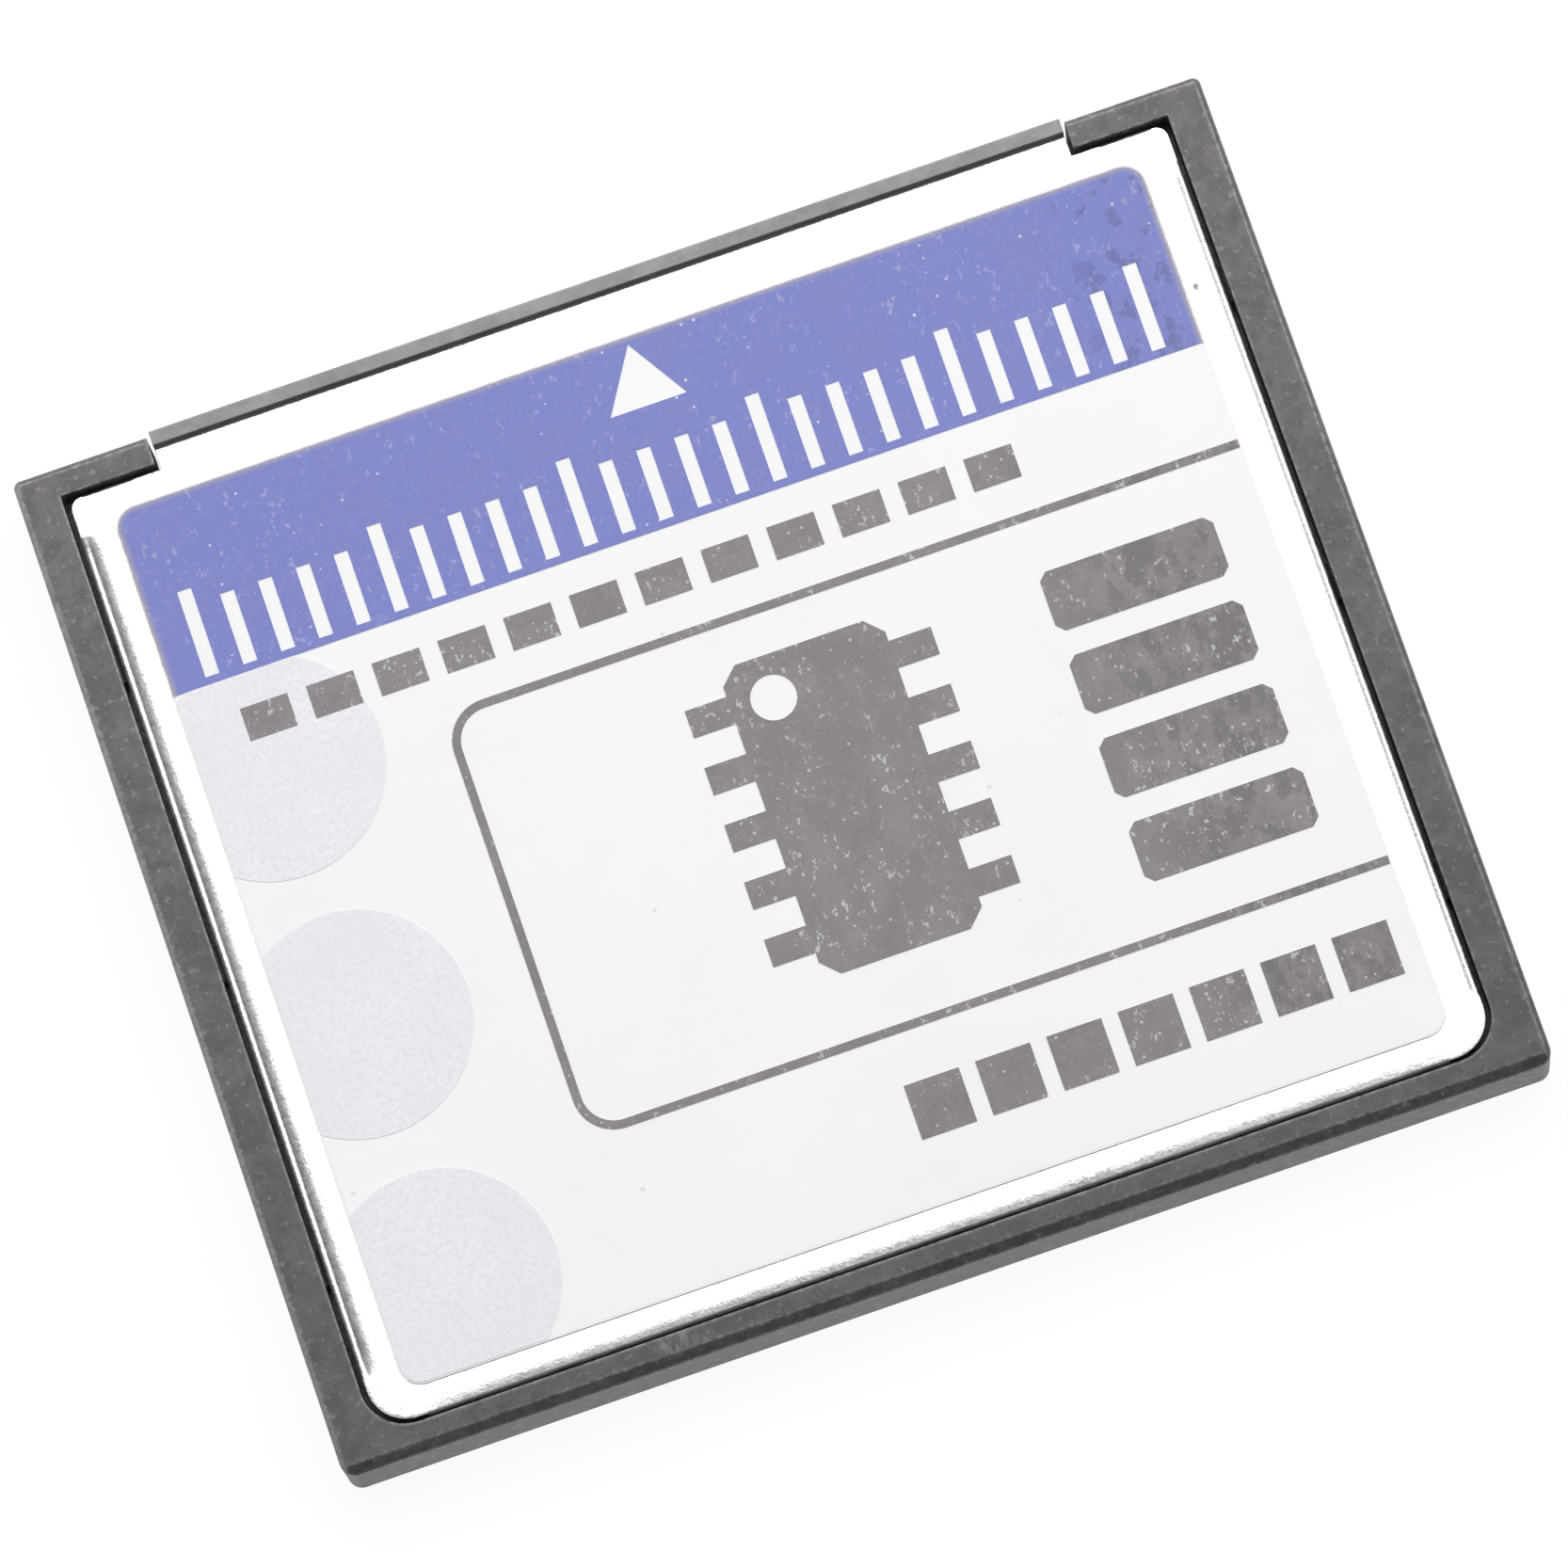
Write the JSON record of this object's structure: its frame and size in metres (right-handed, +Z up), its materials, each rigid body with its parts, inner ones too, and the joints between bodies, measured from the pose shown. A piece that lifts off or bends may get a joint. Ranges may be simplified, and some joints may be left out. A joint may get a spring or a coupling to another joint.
{
  "type": "compact flash card",
  "caption": "Flat memory card: a grey plastic frame closed by steel covers, with a printed label on top and a socket strip along its front edge.",
  "frame": {"origin": "middle of the card's footprint, on the plane it rests on", "axes": "+X across the card to the right as its label is seen with the socket edge away, +Y towards the socket edge, +Z up through the label"},
  "size_m": [0.0428, 0.0364, 0.0033],
  "materials": {
    "frame_plastic": "fine moulded texture",
    "cover_steel": "satin",
    "label_film": "satin printed film",
    "ink_blue": "printed",
    "ink_grey": "printed",
    "ink_pale": "printed",
    "socket_plastic": "moulded, glass filled",
    "contact_metal": "gold plated",
    "board_laminate": "green solder mask",
    "chip_plastic": "moulded",
    "lead_metal": "tinned",
    "crystal_case": "nickel plated",
    "capacitor_body": "plain",
    "resistor_body": "plain",
    "film_plastic": "amber film"
  },
  "bodies": {
    "root": {"card_frame": "frame_plastic", "upper_cover": "cover_steel", "lower_cover": "cover_steel", "label_sheet": "label_film", "label_band": "ink_blue", "label_discs": "ink_pale", "label_line_frame": "ink_grey", "label_dashes": "ink_grey", "label_cells": "ink_grey", "label_chip_icon": "ink_grey", "label_stack": "ink_grey", "socket_housing": "socket_plastic", "upper_contacts": "contact_metal", "lower_contacts": "contact_metal", "circuit_board": "board_laminate", "front_flash_chip": "chip_plastic", "front_flash_leads": "lead_metal", "rear_flash_chip": "chip_plastic", "rear_flash_leads": "lead_metal", "controller_chip": "chip_plastic", "controller_leads": "lead_metal", "clock_crystal": "crystal_case", "regulator_chip": "chip_plastic", "regulator_leads": "lead_metal", "ceramic_capacitors": "capacitor_body", "chip_resistors": "resistor_body", "resistor_arrays": "resistor_body", "upper_film": "film_plastic", "lower_film": "film_plastic"}
  },
  "joints": []
}
